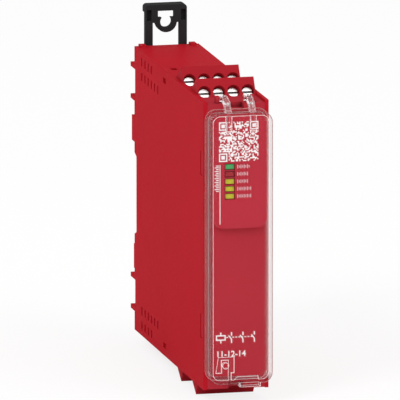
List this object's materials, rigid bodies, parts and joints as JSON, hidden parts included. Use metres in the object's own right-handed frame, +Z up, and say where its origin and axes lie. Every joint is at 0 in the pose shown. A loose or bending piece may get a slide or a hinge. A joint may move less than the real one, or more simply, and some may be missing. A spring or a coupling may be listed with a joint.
{
  "type": "safety relay",
  "caption": "Slim DIN-rail safety relay module with stepped rows of slotted screw terminals, a clear hinged front cover and a pull-out rail clip.",
  "frame": {"origin": "centre of the 35 mm rail seat, on the back plane, halfway across the width", "axes": "+X to the right seen from the front, -Y out of the front, +Y towards the rail, +Z up"},
  "size_m": [0.0226, 0.1198, 0.1176],
  "materials": {
    "screw_steel": "nickel-plated, slotted",
    "cage_steel": "zinc-plated",
    "contact_brass": "tinned strip",
    "terminal_red": "moulded, satin",
    "housing_red": "moulded, satin, fine grain",
    "cap_red": "moulded, satin",
    "label_red": "moulded, satin, white print",
    "clear_plastic": "clear, polished",
    "clip_black": "moulded, satin",
    "board_green": "solder mask",
    "relay_case": "moulded",
    "capacitor_can": "sleeved can",
    "transformer_core": "taped winding on a ferrite core",
    "black_moulding": "moulded",
    "fuse_body": "ceramic-like tube",
    "varistor_coat": "dipped",
    "led_lens": "diffused",
    "pipe_green": "tinted clear",
    "pipe_red": "tinted clear",
    "pipe_yellow": "tinted clear"
  },
  "bodies": {
    "module": {"board_connector": "black_moulding", "capacitors": "capacitor_can", "contact_bars_bottom_front": "contact_brass", "contact_bars_bottom_rear": "contact_brass", "contact_bars_top_front": "contact_brass", "contact_bars_top_rear": "contact_brass", "front_board": "board_green", "front_cap": "cap_red", "fuse": "fuse_body", "housing": "housing_red", "label_plate": "label_red", "light_pipe_green": "pipe_green", "light_pipe_red": "pipe_red", "light_pipes_yellow": "pipe_yellow", "logic_chips": "black_moulding", "main_board": "board_green", "status_leds": "led_lens", "switching_relay_1": "relay_case", "switching_relay_2": "relay_case", "terminal_block_bottom_front": "terminal_red", "terminal_block_bottom_rear": "terminal_red", "terminal_block_top_front": "terminal_red", "terminal_block_top_rear": "terminal_red", "transformer": "transformer_core", "varistor": "varistor_coat"},
    "cover": {"clear_cover": "clear_plastic"},
    "clip": {"rail_clip": "clip_black"},
    "screw top_rear_1": {"screw_top_rear_1": "screw_steel"},
    "cage top_rear_1": {"clamp_cage_top_rear_1": "cage_steel"},
    "screw top_rear_2": {"screw_top_rear_2": "screw_steel"},
    "cage top_rear_2": {"clamp_cage_top_rear_2": "cage_steel"},
    "screw top_rear_3": {"screw_top_rear_3": "screw_steel"},
    "cage top_rear_3": {"clamp_cage_top_rear_3": "cage_steel"},
    "screw top_rear_4": {"screw_top_rear_4": "screw_steel"},
    "cage top_rear_4": {"clamp_cage_top_rear_4": "cage_steel"},
    "screw top_front_1": {"screw_top_front_1": "screw_steel"},
    "cage top_front_1": {"clamp_cage_top_front_1": "cage_steel"},
    "screw top_front_2": {"screw_top_front_2": "screw_steel"},
    "cage top_front_2": {"clamp_cage_top_front_2": "cage_steel"},
    "screw top_front_3": {"screw_top_front_3": "screw_steel"},
    "cage top_front_3": {"clamp_cage_top_front_3": "cage_steel"},
    "screw top_front_4": {"screw_top_front_4": "screw_steel"},
    "cage top_front_4": {"clamp_cage_top_front_4": "cage_steel"},
    "screw bottom_rear_1": {"screw_bottom_rear_1": "screw_steel"},
    "cage bottom_rear_1": {"clamp_cage_bottom_rear_1": "cage_steel"},
    "screw bottom_rear_2": {"screw_bottom_rear_2": "screw_steel"},
    "cage bottom_rear_2": {"clamp_cage_bottom_rear_2": "cage_steel"},
    "screw bottom_rear_3": {"screw_bottom_rear_3": "screw_steel"},
    "cage bottom_rear_3": {"clamp_cage_bottom_rear_3": "cage_steel"},
    "screw bottom_rear_4": {"screw_bottom_rear_4": "screw_steel"},
    "cage bottom_rear_4": {"clamp_cage_bottom_rear_4": "cage_steel"},
    "screw bottom_front_1": {"screw_bottom_front_1": "screw_steel"},
    "cage bottom_front_1": {"clamp_cage_bottom_front_1": "cage_steel"},
    "screw bottom_front_2": {"screw_bottom_front_2": "screw_steel"},
    "cage bottom_front_2": {"clamp_cage_bottom_front_2": "cage_steel"},
    "screw bottom_front_3": {"screw_bottom_front_3": "screw_steel"},
    "cage bottom_front_3": {"clamp_cage_bottom_front_3": "cage_steel"},
    "screw bottom_front_4": {"screw_bottom_front_4": "screw_steel"},
    "cage bottom_front_4": {"clamp_cage_bottom_front_4": "cage_steel"}
  },
  "joints": [
    {"name": "cover_hinge", "type": "hinge", "parent": "module", "child": "cover", "pos_m": [0, -0.1026, 0.0517], "axis": [-1, 0, 0], "range_deg": [0, 110]},
    {"name": "clip_slide", "type": "slide", "parent": "module", "child": "clip", "axis": [0, 0, 1], "range_m": [-0.009, 0]},
    {"name": "screw_turn_top_rear_1", "type": "hinge", "parent": "module", "child": "screw top_rear_1", "pos_m": [-0.0075, -0.06867, 0.05189], "axis": [0, -0.8387, 0.5446], "range_deg": [0, 1296.5]},
    {"name": "cage_slide_top_rear_1", "type": "slide", "parent": "module", "child": "cage top_rear_1", "axis": [0, 0.8387, -0.5446], "range_m": [0, 0.0018]},
    {"name": "screw_turn_top_rear_2", "type": "hinge", "parent": "module", "child": "screw top_rear_2", "pos_m": [-0.0025, -0.06867, 0.05189], "axis": [0, -0.8387, 0.5446], "range_deg": [0, 1296.5]},
    {"name": "cage_slide_top_rear_2", "type": "slide", "parent": "module", "child": "cage top_rear_2", "axis": [0, 0.8387, -0.5446], "range_m": [0, 0.0018]},
    {"name": "screw_turn_top_rear_3", "type": "hinge", "parent": "module", "child": "screw top_rear_3", "pos_m": [0.0025, -0.06867, 0.05189], "axis": [0, -0.8387, 0.5446], "range_deg": [0, 1296.5]},
    {"name": "cage_slide_top_rear_3", "type": "slide", "parent": "module", "child": "cage top_rear_3", "axis": [0, 0.8387, -0.5446], "range_m": [0, 0.0018]},
    {"name": "screw_turn_top_rear_4", "type": "hinge", "parent": "module", "child": "screw top_rear_4", "pos_m": [0.0075, -0.06867, 0.05189], "axis": [0, -0.8387, 0.5446], "range_deg": [0, 1296.5]},
    {"name": "cage_slide_top_rear_4", "type": "slide", "parent": "module", "child": "cage top_rear_4", "axis": [0, 0.8387, -0.5446], "range_m": [0, 0.0018]},
    {"name": "screw_turn_top_front_1", "type": "hinge", "parent": "module", "child": "screw top_front_1", "pos_m": [-0.0075, -0.09097, 0.05189], "axis": [0, -0.8387, 0.5446], "range_deg": [0, 1296.5]},
    {"name": "cage_slide_top_front_1", "type": "slide", "parent": "module", "child": "cage top_front_1", "axis": [0, 0.8387, -0.5446], "range_m": [0, 0.0018]},
    {"name": "screw_turn_top_front_2", "type": "hinge", "parent": "module", "child": "screw top_front_2", "pos_m": [-0.0025, -0.09097, 0.05189], "axis": [0, -0.8387, 0.5446], "range_deg": [0, 1296.5]},
    {"name": "cage_slide_top_front_2", "type": "slide", "parent": "module", "child": "cage top_front_2", "axis": [0, 0.8387, -0.5446], "range_m": [0, 0.0018]},
    {"name": "screw_turn_top_front_3", "type": "hinge", "parent": "module", "child": "screw top_front_3", "pos_m": [0.0025, -0.09097, 0.05189], "axis": [0, -0.8387, 0.5446], "range_deg": [0, 1296.5]},
    {"name": "cage_slide_top_front_3", "type": "slide", "parent": "module", "child": "cage top_front_3", "axis": [0, 0.8387, -0.5446], "range_m": [0, 0.0018]},
    {"name": "screw_turn_top_front_4", "type": "hinge", "parent": "module", "child": "screw top_front_4", "pos_m": [0.0075, -0.09097, 0.05189], "axis": [0, -0.8387, 0.5446], "range_deg": [0, 1296.5]},
    {"name": "cage_slide_top_front_4", "type": "slide", "parent": "module", "child": "cage top_front_4", "axis": [0, 0.8387, -0.5446], "range_m": [0, 0.0018]},
    {"name": "screw_turn_bottom_rear_1", "type": "hinge", "parent": "module", "child": "screw bottom_rear_1", "pos_m": [-0.0075, -0.06867, -0.04849], "axis": [0, -0.8387, -0.5446], "range_deg": [0, 1296.5]},
    {"name": "cage_slide_bottom_rear_1", "type": "slide", "parent": "module", "child": "cage bottom_rear_1", "axis": [0, 0.8387, 0.5446], "range_m": [0, 0.0018]},
    {"name": "screw_turn_bottom_rear_2", "type": "hinge", "parent": "module", "child": "screw bottom_rear_2", "pos_m": [-0.0025, -0.06867, -0.04849], "axis": [0, -0.8387, -0.5446], "range_deg": [0, 1296.5]},
    {"name": "cage_slide_bottom_rear_2", "type": "slide", "parent": "module", "child": "cage bottom_rear_2", "axis": [0, 0.8387, 0.5446], "range_m": [0, 0.0018]},
    {"name": "screw_turn_bottom_rear_3", "type": "hinge", "parent": "module", "child": "screw bottom_rear_3", "pos_m": [0.0025, -0.06867, -0.04849], "axis": [0, -0.8387, -0.5446], "range_deg": [0, 1296.5]},
    {"name": "cage_slide_bottom_rear_3", "type": "slide", "parent": "module", "child": "cage bottom_rear_3", "axis": [0, 0.8387, 0.5446], "range_m": [0, 0.0018]},
    {"name": "screw_turn_bottom_rear_4", "type": "hinge", "parent": "module", "child": "screw bottom_rear_4", "pos_m": [0.0075, -0.06867, -0.04849], "axis": [0, -0.8387, -0.5446], "range_deg": [0, 1296.5]},
    {"name": "cage_slide_bottom_rear_4", "type": "slide", "parent": "module", "child": "cage bottom_rear_4", "axis": [0, 0.8387, 0.5446], "range_m": [0, 0.0018]},
    {"name": "screw_turn_bottom_front_1", "type": "hinge", "parent": "module", "child": "screw bottom_front_1", "pos_m": [-0.0075, -0.09097, -0.04849], "axis": [0, -0.8387, -0.5446], "range_deg": [0, 1296.5]},
    {"name": "cage_slide_bottom_front_1", "type": "slide", "parent": "module", "child": "cage bottom_front_1", "axis": [0, 0.8387, 0.5446], "range_m": [0, 0.0018]},
    {"name": "screw_turn_bottom_front_2", "type": "hinge", "parent": "module", "child": "screw bottom_front_2", "pos_m": [-0.0025, -0.09097, -0.04849], "axis": [0, -0.8387, -0.5446], "range_deg": [0, 1296.5]},
    {"name": "cage_slide_bottom_front_2", "type": "slide", "parent": "module", "child": "cage bottom_front_2", "axis": [0, 0.8387, 0.5446], "range_m": [0, 0.0018]},
    {"name": "screw_turn_bottom_front_3", "type": "hinge", "parent": "module", "child": "screw bottom_front_3", "pos_m": [0.0025, -0.09097, -0.04849], "axis": [0, -0.8387, -0.5446], "range_deg": [0, 1296.5]},
    {"name": "cage_slide_bottom_front_3", "type": "slide", "parent": "module", "child": "cage bottom_front_3", "axis": [0, 0.8387, 0.5446], "range_m": [0, 0.0018]},
    {"name": "screw_turn_bottom_front_4", "type": "hinge", "parent": "module", "child": "screw bottom_front_4", "pos_m": [0.0075, -0.09097, -0.04849], "axis": [0, -0.8387, -0.5446], "range_deg": [0, 1296.5]},
    {"name": "cage_slide_bottom_front_4", "type": "slide", "parent": "module", "child": "cage bottom_front_4", "axis": [0, 0.8387, 0.5446], "range_m": [0, 0.0018]}
  ],
  "couplings": [
    {"joint": "screw_turn_top_rear_1", "follows": "cage_slide_top_rear_1", "rad_per_m": 12566},
    {"joint": "screw_turn_top_rear_2", "follows": "cage_slide_top_rear_2", "rad_per_m": 12566},
    {"joint": "screw_turn_top_rear_3", "follows": "cage_slide_top_rear_3", "rad_per_m": 12566},
    {"joint": "screw_turn_top_rear_4", "follows": "cage_slide_top_rear_4", "rad_per_m": 12566},
    {"joint": "screw_turn_top_front_1", "follows": "cage_slide_top_front_1", "rad_per_m": 12566},
    {"joint": "screw_turn_top_front_2", "follows": "cage_slide_top_front_2", "rad_per_m": 12566},
    {"joint": "screw_turn_top_front_3", "follows": "cage_slide_top_front_3", "rad_per_m": 12566},
    {"joint": "screw_turn_top_front_4", "follows": "cage_slide_top_front_4", "rad_per_m": 12566},
    {"joint": "screw_turn_bottom_rear_1", "follows": "cage_slide_bottom_rear_1", "rad_per_m": 12566},
    {"joint": "screw_turn_bottom_rear_2", "follows": "cage_slide_bottom_rear_2", "rad_per_m": 12566},
    {"joint": "screw_turn_bottom_rear_3", "follows": "cage_slide_bottom_rear_3", "rad_per_m": 12566},
    {"joint": "screw_turn_bottom_rear_4", "follows": "cage_slide_bottom_rear_4", "rad_per_m": 12566},
    {"joint": "screw_turn_bottom_front_1", "follows": "cage_slide_bottom_front_1", "rad_per_m": 12566},
    {"joint": "screw_turn_bottom_front_2", "follows": "cage_slide_bottom_front_2", "rad_per_m": 12566},
    {"joint": "screw_turn_bottom_front_3", "follows": "cage_slide_bottom_front_3", "rad_per_m": 12566},
    {"joint": "screw_turn_bottom_front_4", "follows": "cage_slide_bottom_front_4", "rad_per_m": 12566}
  ]
}
